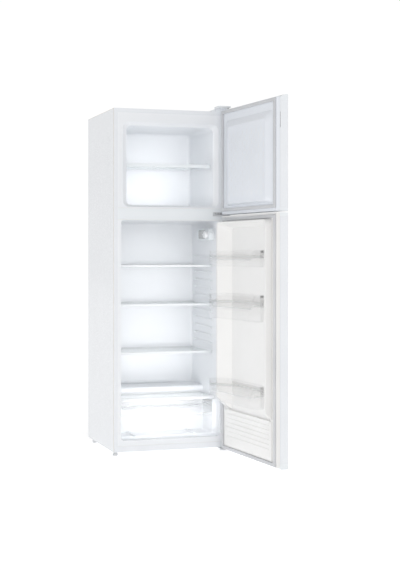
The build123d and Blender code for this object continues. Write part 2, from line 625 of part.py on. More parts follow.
# freezer door
top_profile = [(SKIN_START, DOOR_CREST - 26), (SKIN_START, TOP), (34, DOOR_CREST - 3),
               (48, DOOR_CREST), (DOOR_THICKNESS, DOOR_CREST), (DOOR_THICKNESS, DOOR_CREST - 26)]
cap_low = DOOR_CREST - 26
top_cap = prism_across(top_profile, 0, WIDTH) & door_outline(cap_low, DOOR_CREST)
top_cap -= pin_bore(cap_low + 6, DOOR_CREST + 1)
bottom_cap = door_outline(FREEZER_DOOR_LOW, FREEZER_DOOR_LOW + CAP)
bottom_cap -= pin_bore(FREEZER_DOOR_LOW - 1, FREEZER_DOOR_LOW + CAP + 1)
freezer_caps = [swung(top_cap).solid(), swung(bottom_cap).solid()]
parts["freezer_door_caps"] = Compound(children=freezer_caps)
skin_low = FREEZER_DOOR_LOW + CAP
pocket_room = panel(WIDTH - 2 * GRIP_REACH, WIDTH, SKIN_START, DOOR_THICKNESS, GRIP_LOW - RIM,
                    GRIP_LOW + GRIP_LENGTH + RIM)
pocket = grip_block(SHEET) & pocket_room
parts["freezer_door_skin"] = swung(door_skin(skin_low, cap_low) + pocket - grip_block(0))
parts["freezer_door_liner"] = swung(shell_of(
    FREEZER_DOOR_LOW, FREEZER_DOOR_HIGH, [plinth(0)], [plinth(LINER_SKIN)]))
freezer_core = foam_of(skin_low + 3, cap_low - 0.2, [plinth(LINER_SKIN + 0.3)]) - grip_block(SHEET + 0.2)
parts["freezer_door_foam"] = swung(freezer_core)
parts["freezer_door_gasket"] = swung(gasket(FREEZER_GASKET_LOW, FREEZER_GASKET_HIGH))

# fridge door
upper_cap = door_outline(FRIDGE_DOOR_HIGH - CAP, FRIDGE_DOOR_HIGH)
upper_cap -= pin_bore(FRIDGE_DOOR_HIGH - CAP - 1, FRIDGE_DOOR_HIGH + 1)
sole_profile = [(SKIN_START, 31), (SKIN_START, BOTTOM), (21, FRIDGE_DOOR_SOLE),
                (DOOR_THICKNESS, FRIDGE_DOOR_SOLE), (DOOR_THICKNESS, 31)]
lower_cap = prism_across(sole_profile, 0, WIDTH) & door_outline(0, 31)
HINGE_POCKET = 46.0
lower_cap -= panel(-1, HINGE_POCKET, SKIN_START - 1, DOOR_THICKNESS + 1, 0, 15.5)
lower_cap -= pin_bore(10, 28)
fridge_caps = [swung(upper_cap).solid(), swung(lower_cap).solid()]
parts["fridge_door_caps"] = Compound(children=fridge_caps)
parts["fridge_door_skin"] = swung(door_skin(31, FRIDGE_DOOR_HIGH - CAP))
ribs = []
for k in range(7):
    z = 84 + 20 * k
    rib = panel(62, 488, -8, -5.5, z - 4, z + 4)
    ribs.append(chamfer(rib.faces().sort_by(Axis.Y)[-1].edges(), 1.2))
parts["fridge_door_liner"] = swung(shell_of(
    FRIDGE_DOOR_LOW, FRIDGE_DOOR_HIGH, [dykes(0), kick_field(0)] + ribs,
    [dykes(LINER_SKIN), kick_field(LINER_SKIN)]))
fridge_core = foam_of(34, FRIDGE_DOOR_HIGH - CAP - 3, [dykes(2.3), kick_field(2.3)])
parts["fridge_door_foam"] = swung(fridge_core)
parts["fridge_door_gasket"] = swung(gasket(FRIDGE_GASKET_LOW, FRIDGE_GASKET_HIGH))


BIN_PLAN = [
    (113.5, 0.8), (59, 51.6), (50, 51.6), (50, BIN_REACH), (496, BIN_REACH_FREE), (496, 33),
    (459.5, 33), (459.5, 0.8),
]


def door_bin(z0, z_front, z_back):
    """A clear bin that hangs between the ridges, with a lower front wall."""
    def body(inset, low, high):
        outline = [(SIDE - u, FRONT - DOOR_GAP + p) for u, p in BIN_PLAN]
        face = make_face(Polyline(*outline, close=True))
        if inset:
            face = offset(face, -inset, kind=Kind.INTERSECTION)
        solid = extrude(Plane.XY.offset(low) * face, amount=high - low)
        front_edges = solid.edges().filter_by(Axis.Z).sort_by(Axis.Y)[-2:]
        return fillet(front_edges, 14 - inset)
    shell = body(0, z0, z_back) - body(BIN_WALL, z0 + BIN_WALL, z_back + 5)
    return shell - panel(68, 478, -BIN_REACH - 1, -BIN_DROP, z_front, z_back + 5)


for name, (z0, z_front, z_back) in BINS.items():
    parts[name] = swung(door_bin(z0, z_front, z_back))

# ---- hinges -------------------------------------------------------------------------------
ARM_LOW = 1088.0
ARM_HIGH = 1091.0
SOLE_ARM = 10.5
TOP_ARM = 1585.5
PLATE = 3.0


def arm(x0, x1, d0, d1, z):
    """A hinge plate with rounded corners and a hole for its pin."""
    plate = rounded(block(x0, x1, d0, d1, z, z + PLATE), Axis.Z, 6)
    return plate - rod(PIN_X, PIN_DEPTH, z - 1, z + PLATE + 1, PIN_RADIUS)


middle_bracket = arm(214, 272, -48, -0.1, ARM_LOW)
middle_bracket += block(202, 251, -2.6, -0.1, ARM_LOW - 1.5, 1104.5)
MID_SCREWS = ((212, 1098.5), (226, 1098.5), (240, 1098.5))
parts["middle_hinge_bracket"] = middle_bracket

bottom_bracket = arm(236, 272, -48, 60, SOLE_ARM)
bottom_bracket += block(236, 248, 6, 60, SOLE_ARM, BOTTOM)
FOOT_BODY = 8.0
bottom_bracket -= rod(FOOT_X, FOOT_DEPTH, 8, 20, FOOT_BODY + 0.6)
parts["bottom_hinge_bracket"] = bottom_bracket

top_bracket = arm(214, 270.5, -48, 4, TOP_ARM)
top_bracket += block(214, 270.5, 1, 4, TOP, TOP_ARM + PLATE)
top_bracket += block(214, 270.5, 1, 44, TOP, TOP + PLATE)
parts["top_hinge_bracket"] = top_bracket

pins = [
    rod(PIN_X, PIN_DEPTH, cap_low + 8, TOP_ARM + PLATE, PIN_RADIUS),
    rod(PIN_X, PIN_DEPTH, FRIDGE_DOOR_HIGH - CAP + 1, FREEZER_DOOR_LOW + CAP - 1, PIN_RADIUS),
    rod(PIN_X, PIN_DEPTH, SOLE_ARM, 26, PIN_RADIUS),
]
parts["hinge_pins"] = Compound(children=pins)

heads = [fore_aft(x, -4.4, -2.6, z, 4.2) for x, z in MID_SCREWS]
heads += [rod(x, 26, TOP + PLATE, TOP + PLATE + 3, 5) for x in (228, 258)]
parts["hinge_screws"] = Compound(children=heads)

COVER_CREST = 1592.0
cover_profile = [(196, TOP), (272.4, TOP), (272.4, COVER_CREST), (240, COVER_CREST), (200, TOP + 6)]
cover_plane = Plane(origin=(0, FRONT + 50, 0), x_dir=(1, 0, 0), z_dir=(0, -1, 0))
top_cover = extrude(cover_plane * make_face(Polyline(*cover_profile, close=True)), amount=48.5)
nose = block(212, 272.4, -51, 8, TOP_ARM - 1, COVER_CREST)
top_cover += fillet(nose.edges().filter_by(Axis.Z).sort_by(Axis.Y)[:2], 5)
top_cover -= block(213, 271.2, 0.8, 46, TOP - 1, COVER_CREST - 2)
top_cover -= block(213.4, 271.2, -49.4, 2, TOP_ARM - 2, COVER_CREST - 2)
parts["top_hinge_cover"] = top_cover

# ---- feet ---------------------------------------------------------------------------------
for label, side in (("left", -1), ("right", 1)):
    foot = rod(side * FOOT_X, FOOT_DEPTH, 0, 9.5, 12)
    foot = chamfer(foot.edges().filter_by(GeomType.CIRCLE), 1.2)
    foot += rod(side * FOOT_X, FOOT_DEPTH, 9, BOTTOM - 0.5, FOOT_BODY)
    foot += rod(side * FOOT_X, FOOT_DEPTH, BOTTOM - 1, 46, FOOT_STUD)
    parts["front_foot_" + label] = foot
rear_feet = []
for side in (-1, 1):
    foot = rod(side * FOOT_X, 410, 0, BOTTOM, 11)
    rear_feet.append(chamfer(foot.edges().filter_by(GeomType.CIRCLE), 1.2).solid())
parts["rear_feet"] = Compound(children=rear_feet)

# ---- write the pieces ---------------------------------------------------------------------
os.makedirs("parts", exist_ok=True)
for name, shape in parts.items():
    export_step(shape, f"parts/{name}.step")
print(len(parts), "nodes written")
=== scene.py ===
import json
import math

import bmesh
import bpy
from mathutils import Matrix, Vector


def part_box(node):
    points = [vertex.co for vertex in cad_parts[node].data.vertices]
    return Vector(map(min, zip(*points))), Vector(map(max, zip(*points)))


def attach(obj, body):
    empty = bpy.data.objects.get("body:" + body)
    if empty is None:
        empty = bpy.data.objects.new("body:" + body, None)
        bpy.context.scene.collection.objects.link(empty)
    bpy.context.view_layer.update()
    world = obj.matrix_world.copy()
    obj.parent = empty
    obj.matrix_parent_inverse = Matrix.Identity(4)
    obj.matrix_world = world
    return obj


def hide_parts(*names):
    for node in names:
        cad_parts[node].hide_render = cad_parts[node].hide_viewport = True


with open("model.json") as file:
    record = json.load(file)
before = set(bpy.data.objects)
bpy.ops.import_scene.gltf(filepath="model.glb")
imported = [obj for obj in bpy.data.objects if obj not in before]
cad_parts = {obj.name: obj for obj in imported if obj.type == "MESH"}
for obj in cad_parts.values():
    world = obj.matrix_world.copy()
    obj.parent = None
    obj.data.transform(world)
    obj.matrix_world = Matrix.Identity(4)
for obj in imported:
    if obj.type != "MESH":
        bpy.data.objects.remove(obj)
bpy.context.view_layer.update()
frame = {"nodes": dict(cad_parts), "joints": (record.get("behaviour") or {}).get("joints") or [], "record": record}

MM = 0.001
NODES = frame["nodes"]
JOINTS = {joint["name"]: joint for joint in frame["joints"]}
SLOT_OF = {part["node"]: part["material_slot"] for part in frame["record"]["subparts"]}

# ---- places taken from the frame, in millimetres where the pieces are drawn -----------------
SHELL_LOW, SHELL_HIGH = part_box("outer_shell")
SIDE = SHELL_HIGH.x / MM
FRONT = SHELL_LOW.y / MM
CABINET_TOP = SHELL_HIGH.z / MM
DOOR_GAP = 8.0
PIN = Vector(JOINTS["fridge_door_hinge"]["pos_m"])
OPEN_ANGLE = -math.radians(JOINTS["fridge_door_hinge"]["range_deg"][0])

# Cabinet space: x to the right, depth back from the front plane, z up.
CABINET = Matrix(((MM, 0, 0, 0), (0, MM, 0, FRONT * MM), (0, 0, MM, 0), (0, 0, 0, 1)))
# Door space: u from the hinge end, p inwards from the inner plane, z up, with the door open.
CLOSED_DOOR = Matrix(((-MM, 0, 0, SIDE * MM), (0, MM, 0, (FRONT - DOOR_GAP) * MM),
                      (0, 0, MM, 0), (0, 0, 0, 1)))
SWING = Matrix.Translation(PIN) @ Matrix.Rotation(OPEN_ANGLE, 4, "Z") @ Matrix.Translation(-PIN)
DOOR = SWING @ CLOSED_DOOR


# ---- materials ------------------------------------------------------------------------------
def new_material(name):
    """A material with an empty node tree, its output and its shader."""
    material = bpy.data.materials.new(name)
    material.use_nodes = True
    tree = material.node_tree
    shader = tree.nodes["Principled BSDF"]
    return material, tree, shader


def coordinates(tree, scale=(1, 1, 1)):
    """Object coordinates in metres, stretched by a scale."""
    source = tree.nodes.new("ShaderNodeTexCoord")
    mapping = tree.nodes.new("ShaderNodeMapping")
    mapping.inputs["Scale"].default_value = scale
    tree.links.new(source.outputs["Object"], mapping.inputs["Vector"])
    return mapping.outputs["Vector"]


def noise(tree, scale, detail=3.0, stretch=(1, 1, 1)):
    """A noise texture's value on object coordinates."""
    node = tree.nodes.new("ShaderNodeTexNoise")
    node.inputs["Scale"].default_value = scale
    node.inputs["Detail"].default_value = detail
    tree.links.new(coordinates(tree, stretch), node.inputs["Vector"])
    return node.outputs["Fac"]


def ranged(tree, value, low, high, source=(0.3, 0.7)):
    """The value mapped from its source range to another range."""
    node = tree.nodes.new("ShaderNodeMapRange")
    node.inputs["From Min"].default_value = source[0]
    node.inputs["From Max"].default_value = source[1]
    node.inputs["To Min"].default_value = low
    node.inputs["To Max"].default_value = high
    tree.links.new(value, node.inputs["Value"])
    return node.outputs["Result"]


def tinted(tree, value, low, high):
    """A colour that runs between two colours with the value."""
    node = tree.nodes.new("ShaderNodeMix")
    node.data_type = "RGBA"
    node.inputs["A"].default_value = (*low, 1)
    node.inputs["B"].default_value = (*high, 1)
    tree.links.new(ranged(tree, value, 0, 1), node.inputs["Factor"])
    return node.outputs["Result"]


def bumped(tree, shader, value, strength, distance):
    """A bump from the value on the shader's normal."""
    node = tree.nodes.new("ShaderNodeBump")
    node.inputs["Strength"].default_value = strength
    node.inputs["Distance"].default_value = distance
    tree.links.new(value, node.inputs["Height"])
    tree.links.new(node.outputs["Normal"], shader.inputs["Normal"])


def coated(name, low, high, rough, grain, bump, metallic=0.0, coat=0.0, stretch=(1, 1, 1), broad=6.0):
    """Paint, plastic, rubber or metal: a slow drift of colour, uneven gloss and a fine grain."""
    material, tree, shader = new_material(name)
    drift = noise(tree, broad, 4.0)
    tree.links.new(tinted(tree, drift, low, high), shader.inputs["Base Color"])
    fine = noise(tree, grain, 3.0, stretch)
    tree.links.new(ranged(tree, fine, rough[0], rough[1]), shader.inputs["Roughness"])
    shader.inputs["Metallic"].default_value = metallic
    shader.inputs["Coat Weight"].default_value = coat
    shader.inputs["Coat Roughness"].default_value = 0.12
    bumped(tree, shader, fine, bump, 0.0006)
    return material


def see_through(name, colour, face_alpha, edge_alpha, rough, ior=1.5, grain=500.0, bump=0.03):
    """Clear plastic or glass: thin seen flat on, denser at grazing angles and along edges."""
    material, tree, shader = new_material(name)
    shader.inputs["IOR"].default_value = ior
    drift = noise(tree, 9.0)
    dim = tuple(0.96 * part for part in colour)
    tree.links.new(tinted(tree, drift, dim, colour), shader.inputs["Base Color"])
    fine = noise(tree, grain)
    tree.links.new(ranged(tree, fine, rough[0], rough[1]), shader.inputs["Roughness"])
    facing = tree.nodes.new("ShaderNodeLayerWeight")
    facing.inputs["Blend"].default_value = 0.35
    alpha = ranged(tree, facing.outputs["Facing"], face_alpha, edge_alpha, (0.65, 1.0))
    tree.links.new(alpha, shader.inputs["Alpha"])
    bumped(tree, shader, fine, bump, 0.0004)
    return material


# name: darker tone, lighter tone, roughness range, scale of the grain, bump, other settings
COATINGS = {
    "white_enamel": ((0.845, 0.865, 0.895), (0.865, 0.885, 0.915),
                     (0.20, 0.30), 420.0, 0.05, {"coat": 0.35}),
    "white_plastic": ((0.85, 0.88, 0.905), (0.87, 0.90, 0.92), (0.28, 0.38), 900.0, 0.05, {}),
    "liner_plastic": ((0.87, 0.89, 0.915), (0.89, 0.905, 0.93), (0.26, 0.36), 700.0, 0.05, {}),
    "door_liner_plastic": ((0.865, 0.86, 0.85), (0.885, 0.88, 0.87), (0.26, 0.36), 700.0, 0.05, {}),
    "freezer_door_liner": ((0.82, 0.85, 0.90), (0.84, 0.87, 0.92), (0.26, 0.36), 700.0, 0.05, {}),
    "gasket_vinyl": ((0.60, 0.61, 0.63), (0.66, 0.67, 0.69), (0.45, 0.6), 1200.0, 0.08, {}),
    "foam": ((0.80, 0.70, 0.45), (0.86, 0.78, 0.55), (0.8, 0.95), 300.0, 0.5, {}),
    "galvanised": ((0.58, 0.59, 0.61), (0.65, 0.66, 0.68), (0.32, 0.5), 60.0, 0.04, {"metallic": 0.9}),
    "hinge_steel": ((0.56, 0.57, 0.59), (0.66, 0.67, 0.69),
                    (0.3, 0.45), 900.0, 0.08, {"metallic": 0.35, "broad": 40.0}),
    "pin_steel": ((0.55, 0.55, 0.56), (0.68, 0.68, 0.69), (0.22, 0.35), 900.0, 0.06, {"metallic": 1.0}),
    "compressor_black": ((0.015, 0.015, 0.017), (0.03, 0.03, 0.032), (0.35, 0.5), 500.0, 0.12, {}),
    "rubber_black": ((0.02, 0.02, 0.02), (0.035, 0.035, 0.035), (0.7, 0.85), 900.0, 0.2, {}),
    "black_plastic": ((0.03, 0.03, 0.032), (0.045, 0.045, 0.047), (0.45, 0.6), 1100.0, 0.15, {}),
    "coil_black": ((0.02, 0.02, 0.02), (0.04, 0.04, 0.04), (0.4, 0.55), 700.0, 0.1, {}),
    "copper": ((0.60, 0.28, 0.16), (0.75, 0.40, 0.24),
               (0.25, 0.42), 500.0, 0.05, {"metallic": 1.0, "broad": 30.0}),
    "evaporator_aluminium": ((0.70, 0.71, 0.72), (0.80, 0.81, 0.82),
                             (0.3, 0.45), 600.0, 0.05, {"metallic": 1.0}),
    "tray_plastic": ((0.72, 0.72, 0.69), (0.80, 0.80, 0.77), (0.45, 0.6), 900.0, 0.1, {}),
    "foot_plastic": ((0.66, 0.67, 0.68), (0.72, 0.73, 0.74), (0.5, 0.65), 1100.0, 0.12, {}),
    "knob_plastic": ((0.82, 0.83, 0.85), (0.86, 0.87, 0.89), (0.28, 0.38), 900.0, 0.06, {}),
    # painted shade: a greyer copy of white_plastic for the fridge shelves' edgings, darker than the freezer
    # shelf's
    "shaded_trim_plastic": ((0.72, 0.735, 0.755), (0.76, 0.775, 0.795), (0.25, 0.35), 900.0, 0.05, {}),
    "tick_grey": ((0.38, 0.39, 0.41), (0.45, 0.46, 0.48), (0.4, 0.5), 900.0, 0.05, {}),
    # painted shade: the dark tone of the crosses that stand in for the screws' shaded recesses
    "painted_recess_shade": ((0.10, 0.10, 0.105), (0.16, 0.16, 0.165),
                     (0.5, 0.6), 900.0, 0.05, {"metallic": 0.4}),
}

# name: tone, alpha seen flat on, alpha along an edge, roughness range
CLEAR = {
    "shelf_glass": ((0.86, 0.93, 0.92), 0.10, 0.75, (0.02, 0.06)),
    "clear_plastic": ((0.88, 0.89, 0.90), 0.05, 0.38, (0.04, 0.10)),
    "lens_plastic": ((0.90, 0.91, 0.92), 0.5, 0.95, (0.15, 0.3)),
    "bulb_glass": ((0.93, 0.93, 0.88), 0.45, 0.95, (0.03, 0.06)),
}

MATERIALS = {name: coated(name, *given, **more) for name, (*given, more) in COATINGS.items()}
MATERIALS.update({name: see_through(name, *given) for name, given in CLEAR.items()})
for node, thing in NODES.items():
    thing.data.materials.clear()
    thing.data.materials.append(MATERIALS[node if node in MATERIALS else SLOT_OF[node]])
    thing.visible_shadow = SLOT_OF[node] not in CLEAR


# ---- mesh tools -----------------------------------------------------------------------------
SHARP = math.radians(38)          # faces that meet at a smaller angle are shaded as one curve
WELD = 2e-6                       # metres


def add_piece(name, body, slot, shapes, space, replaces=(), material=None):
    """One visible piece from (points, faces) shapes drawn in millimetres in a space.

    Its finish is the slot's, unless a material is named."""
    points, faces = [], []
    for shape_points, shape_faces in shapes:
        start = len(points)
        points += [space @ Vector(point) for point in shape_points]
        faces += [tuple(start + index for index in face) for face in shape_faces]
    mesh = bpy.data.meshes.new(name)
    mesh.from_pydata(points, [], faces)
    work = bmesh.new()
    work.from_mesh(mesh)
    bmesh.ops.remove_doubles(work, verts=work.verts, dist=WELD)
    bmesh.ops.triangulate(work, faces=[face for face in work.faces if len(face.verts) > 4])
    bmesh.ops.recalc_face_normals(work, faces=work.faces)
    for face in work.faces:
        face.smooth = True
    for edge in work.edges:
        edge.smooth = edge.calc_face_angle(0.0) < SHARP
    work.to_mesh(mesh)
    work.free()
    piece = bpy.data.objects.new(name, mesh)
    bpy.context.scene.collection.objects.link(piece)
    mesh.materials.append(MATERIALS[material or slot])
    piece.visible_shadow = slot not in CLEAR
    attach(piece, body)
    if replaces:
        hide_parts(*replaces)


def skin(rings, looped=False, open_end=False):
    """Faces between rings of equally many points, looped round or with a cap at each closed end."""
    count = len(rings[0])
    points = [point for ring in rings for point in ring]
    faces = []
    pairs = len(rings) if looped else len(rings) - 1
    for k in range(pairs):
        a, b = k * count, (k + 1) % len(rings) * count
        for i in range(count):
            j = (i + 1) % count
            faces.append((a + i, a + j, b + j, b + i))
    if not looped:
        faces.append(tuple(range(count)))
    if not looped and not open_end:
        faces.append(tuple(reversed(range((len(rings) - 1) * count, len(rings) * count))))
    return points, faces


def rounded_outline(corners, radii, distance=0.0, step=2.5, gap=1e9):
    """A closed outline, moved outwards by a distance, with its corners turned into arcs.

    Every distance gives as many points, so the outlines of one shape can be joined as rings."""
    corners = [Vector(corner) for corner in corners]
    count = len(corners)
    if not isinstance(radii, (list, tuple)):
        radii = [radii] * count
    area = sum(corners[k - 1].x * corners[k].y - corners[k].x * corners[k - 1].y for k in range(count))
    side = 1 if area > 0 else -1
    runs = [(corners[(k + 1) % count] - corners[k]).normalized() for k in range(count)]
    arcs = []
    for k in range(count):
        back, ahead = runs[k - 1], runs[k]
        turn = math.atan2(back.x * ahead.y - back.y * ahead.x, back.dot(ahead))
        normals = Vector((back.y + ahead.y, -back.x - ahead.x)) * side
        moved = corners[k] + normals * (distance / (1 + back.dot(ahead)))
        radius = max(0.05, radii[k] + (distance if turn * side > 0 else -distance))
        steps = max(2, math.ceil(radii[k] * abs(turn) / step))
        first = moved - back * (radius * math.tan(abs(turn) / 2))
        centre = first + Vector((-back.y, back.x)) * math.copysign(radius, turn)
        arcs.append([centre + Matrix.Rotation(turn * i / steps, 2) @ (first - centre)
                     for i in range(steps + 1)])
    outline = []
    for k in range(count):
        after = arcs[(k + 1) % count][0]
        pieces = max(1, math.ceil((corners[(k + 1) % count] - corners[k]).length / gap))
        outline += arcs[k]
        outline += [arcs[k][-1].lerp(after, i / pieces) for i in range(1, pieces)]
    return outline


def prism(outline, low, high, place):
    """An extruded outline; place turns (a, b, level) into a point of the space."""
    return skin([[place(p.x, p.y, level) for p in outline] for level in (low, high)])


def lathe(profile, place, count=40, wobble=None):
    """A turned shape from (radius, level) pairs; wobble changes the radius round the turn."""
    rings = []
    for radius, level in profile:
        ring = []
        for i in range(count):
            angle = 2 * math.pi * i / count
            reach = radius * (1 + (wobble(angle, radius) if wobble else 0))
            ring.append(place(reach * math.cos(angle), reach * math.sin(angle), level))
        rings.append(ring)
    return skin(rings)


def upright(a, b, level):
    """Places an outline drawn in plan."""
    return (a, b, level)


def span(node):
    """A node's box at rest as cabinet-space millimetres: x, depth and z ranges."""
    low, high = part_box(node)
    return ((low.x / MM, high.x / MM), (low.y / MM - FRONT, high.y / MM - FRONT), (low.z / MM, high.z / MM))


# ---- door gaskets ---------------------------------------------------------------------------
GASKET_U = (9.0, 540.0)           # from the hinge end of the door
# distance in from the gasket's outer edge, and from the door's inner plane
GASKET_SECTION = [
    (0.9, 0.0), (1.7, 1.2), (0.5, 2.2), (0.1, 4.4), (0.8, 6.6), (2.6, 7.6), (6.4, 7.2), (8.6, 7.2),
    (12.4, 7.6), (14.2, 6.6), (14.9, 4.4), (14.5, 2.2), (13.3, 1.2), (14.1, 0.0),
]


def add_gasket(door):
    """A folded vinyl profile that runs round the door with mitred corners."""
    z0, z1 = span(door + "_gasket")[2]
    u0, u1 = GASKET_U
    rings = [[(u0 + a, p, z0 + a), (u1 - a, p, z0 + a), (u1 - a, p, z1 - a), (u0 + a, p, z1 - a)]
             for a, p in GASKET_SECTION]
    add_piece(door + "_bellows_gasket", door, "gasket_vinyl", [skin(rings, looped=True)], DOOR,
              [door + "_gasket"])


for door in ("freezer_door", "fridge_door"):
    add_gasket(door)

# ---- clear door bins ------------------------------------------------------------------------
# u and p of the bins' corners, and the radius of each
BIN_PLAN = [(113.5, 0.8), (59, 51.6), (50, 51.6), (50, 92), (496, 76), (496, 33), (459.5, 33), (459.5, 0.8)]
BIN_CORNERS = [4, 3, 2, 14, 14, 3, 3, 4]
BIN_FRONT_DROP = {"upper_door_bin": 17.0, "middle_door_bin": 20.0, "bottle_bin": 12.0}
BIN_FRONT_FROM = 56.0             # the lip dips beyond this distance from the inner plane
BIN_DIP = ((62, 84), (462, 484))  # the two stretches of u where the lip falls and rises again
BIN_BAND = 11.0                   # height of the solid band below the lip


def eased(value, low, high):
    """0 below low, 1 above high and a smooth run between."""
    t = min(1.0, max(0.0, (value - low) / (high - low)))
    return t * t * (3 - 2 * t)


def add_bin(name, drop):
    """A clear bin: a sheet for its floor and walls, and a solid band with a lip that dips in front."""
    z0, z_back = span(name)[2]
    outline = rounded_outline(BIN_PLAN, BIN_CORNERS, gap=5.0)

    def lip(point):
        inward = eased(point.x, *BIN_DIP[0]) * (1 - eased(point.x, *BIN_DIP[1]))
        return z_back - drop * inward * eased(point.y, BIN_FRONT_FROM - 6, BIN_FRONT_FROM + 6)

    lips = [lip(point) for point in outline]
    # distance out from the plan, height, and whether the height is from the lip and not from the floor
    profile = [
        (-7.0, 0.0, 0), (-4.2, 0.3, 0), (-2.4, 1.3, 0), (-1.5, 3.2, 0), (-1.2, 6.5, 0),
        (-1.2, -BIN_BAND, 1), (-0.1, -BIN_BAND + 0.6, 1), (-0.1, -2.6, 1), (0.35, -1.8, 1),
        (0.35, -0.6, 1), (-0.3, 0.0, 1), (-2.0, 0.0, 1), (-2.7, -0.8, 1), (-2.7, -BIN_BAND + 0.8, 1),
        (-1.2, -BIN_BAND, 1),
    ]
    rings = []
    for distance, level, from_lip in profile:
        moved = rounded_outline(BIN_PLAN, BIN_CORNERS, distance, gap=5.0)
        rings.append([(p.x, p.y, level + (rim if from_lip else z0)) for p, rim in zip(moved, lips)])
    add_piece(name + "_shell", name, "clear_plastic", [skin(rings, open_end=True)], DOOR, [name])


for name, drop in BIN_FRONT_DROP.items():
    add_bin(name, drop)


# ---- crisper drawer -------------------------------------------------------------------------
CRISPER_CORNER = 10.0
CRISPER_RIBS = (213.0, 190.0, 158.0)


def add_crisper():
    """A clear drawer with a rounded base, a hooked pull along its front and three ribs."""
    (x0, x1), (d0, d1), (z0, rim) = span("crisper_drawer")
    front = d0 + 8
    corners = [(x0, front), (x1, front), (x1, d1), (x0, d1)]
    profile = [
        (-12.0, 0.0, 0), (-7.0, 0.6, 0), (-3.6, 2.6, 0), (-2.4, 6.5, 0), (-1.4, -5.4, 1), (-0.2, -4.4, 1),
        (-0.2, -0.6, 1), (-0.7, 0.0, 1), (-2.6, 0.0, 1), (-3.1, -0.6, 1), (-3.1, -4.4, 1), (-1.4, -5.4, 1),
    ]
    rings = []
    for distance, level, from_rim in profile:
        height = level + (rim if from_rim else z0)
        outline = rounded_outline(corners, CRISPER_CORNER, distance, gap=12.0)
        rings.append([(p.x, p.y, height) for p in outline])
    add_piece("crisper_shell", "crisper_drawer", "clear_plastic", [skin(rings, open_end=True)], CABINET,
              ["crisper_drawer"])
    hook = [(8.6, 0.0), (2.6, 0.0), (0.6, -1.2), (0.0, -3.6), (0.2, -9.2), (1.0, -10.0), (1.8, -9.2),
            (1.8, -3.8), (3.0, -2.4), (8.6, -2.4)]
    ends = [(x0 + 4.0, 0.5), (x0 + 5.2, 1.0), (x1 - 5.2, 1.0), (x1 - 4.0, 0.5)]
    rings = [[(x, d0 + 8.6 - (8.6 - a) * shrink, rim + b * shrink) for a, b in hook] for x, shrink in ends]
    add_piece("crisper_pull", "crisper_drawer", "clear_plastic", [skin(rings)], CABINET)
    bars = []
    for z in CRISPER_RIBS:
        section = [(1.6, -1.6), (0.4, -1.0), (0.0, 0.0), (0.4, 1.0), (1.6, 1.6)]
        bars.append(skin([[(x, front - 1.4 + a, z + b) for a, b in section] for x in (x0 + 12, x1 - 12)]))
    add_piece("crisper_ribs", "crisper_drawer", "clear_plastic", bars, CABINET)


add_crisper()


# ---- shelf edgings --------------------------------------------------------------------------
def add_trims(shelf):
    """Extruded edgings that hold a glass shelf, one along its front and one along its rear."""
    (x0, x1), (d0, d1), (low, high) = span(shelf + "_trims")
    top = span(shelf + "_glass")[2][1]
    foot, crest = low - top, high - top
    front = [(4.1, 1.0), (1.8, 1.0), (0.5, 0.4), (0.0, -0.9), (0.0, foot + 1.6), (0.5, foot + 0.4),
             (1.8, foot), (3.0, foot + 0.8), (3.2, -5.6), (11.2, -5.6), (12.0, -5.0), (12.0, -4.1),
             (4.1, -4.1)]
    rear = [(-4.1, crest), (-1.6, crest), (-0.4, crest - 0.8), (0.0, crest - 2.0), (0.0, -5.6),
            (-0.8, -6.8), (-11.2, -6.8), (-12.0, -6.0), (-12.0, -4.1), (-4.1, -4.1)]
    shapes = []
    for section, depth in ((front, d0), (rear, d1)):
        shapes.append(skin([[(x, depth + a, top + b) for a, b in section] for x in (x0, x1)]))
    # the fridge shelves' edgings take the greyer copy as painted shade, the freezer shelf's keep the white plastic
    add_piece(shelf + "_edgings", shelf, "white_plastic", shapes, CABINET, [shelf + "_trims"],
              None if shelf == "freezer_shelf" else "shaded_trim_plastic")


for shelf in ("freezer_shelf", "upper_shelf", "middle_shelf", "lower_shelf", "crisper_cover"):
    add_trims(shelf)


# ---- embossing on the freezer door's panel --------------------------------------------------
DASH_U, DASH_LOW, DASH_HIGH = (118, 458), 1166, 1466
DASH_HALF, DASH_LENGTH, DASH_PITCH = 1.6, 26, 44
DASH_COLUMNS, DASH_ROWS = 16, 7


def add_embossing():
    """Short upright dashes in staggered columns, raised a little from the panel."""
    shapes = []
    for column in range(DASH_COLUMNS):
        u = DASH_U[0] + column * (DASH_U[1] - DASH_U[0]) / (DASH_COLUMNS - 1)
        for row in range(DASH_ROWS):
            low = DASH_LOW + row * DASH_PITCH + (column % 2) * DASH_PITCH // 2
            high = low + DASH_LENGTH
            if high > DASH_HIGH:
                continue
            dash = [(u - DASH_HALF, low), (u + DASH_HALF, low), (u + DASH_HALF, high), (u - DASH_HALF, high)]
            shapes.append(skin([[(p.x, level, p.y) for p in rounded_outline(dash, 1.5, inset, 0.8)]
                                for inset, level in ((0, 17.8), (0, 18.2), (-0.6, 18.5))]))
    add_piece("freezer_panel_embossing", "freezer_door", "door_liner_plastic", shapes, DOOR)


add_embossing()


# ---- lamp cover and thermostat knob ---------------------------------------------------------
LENS_RIBS = 12


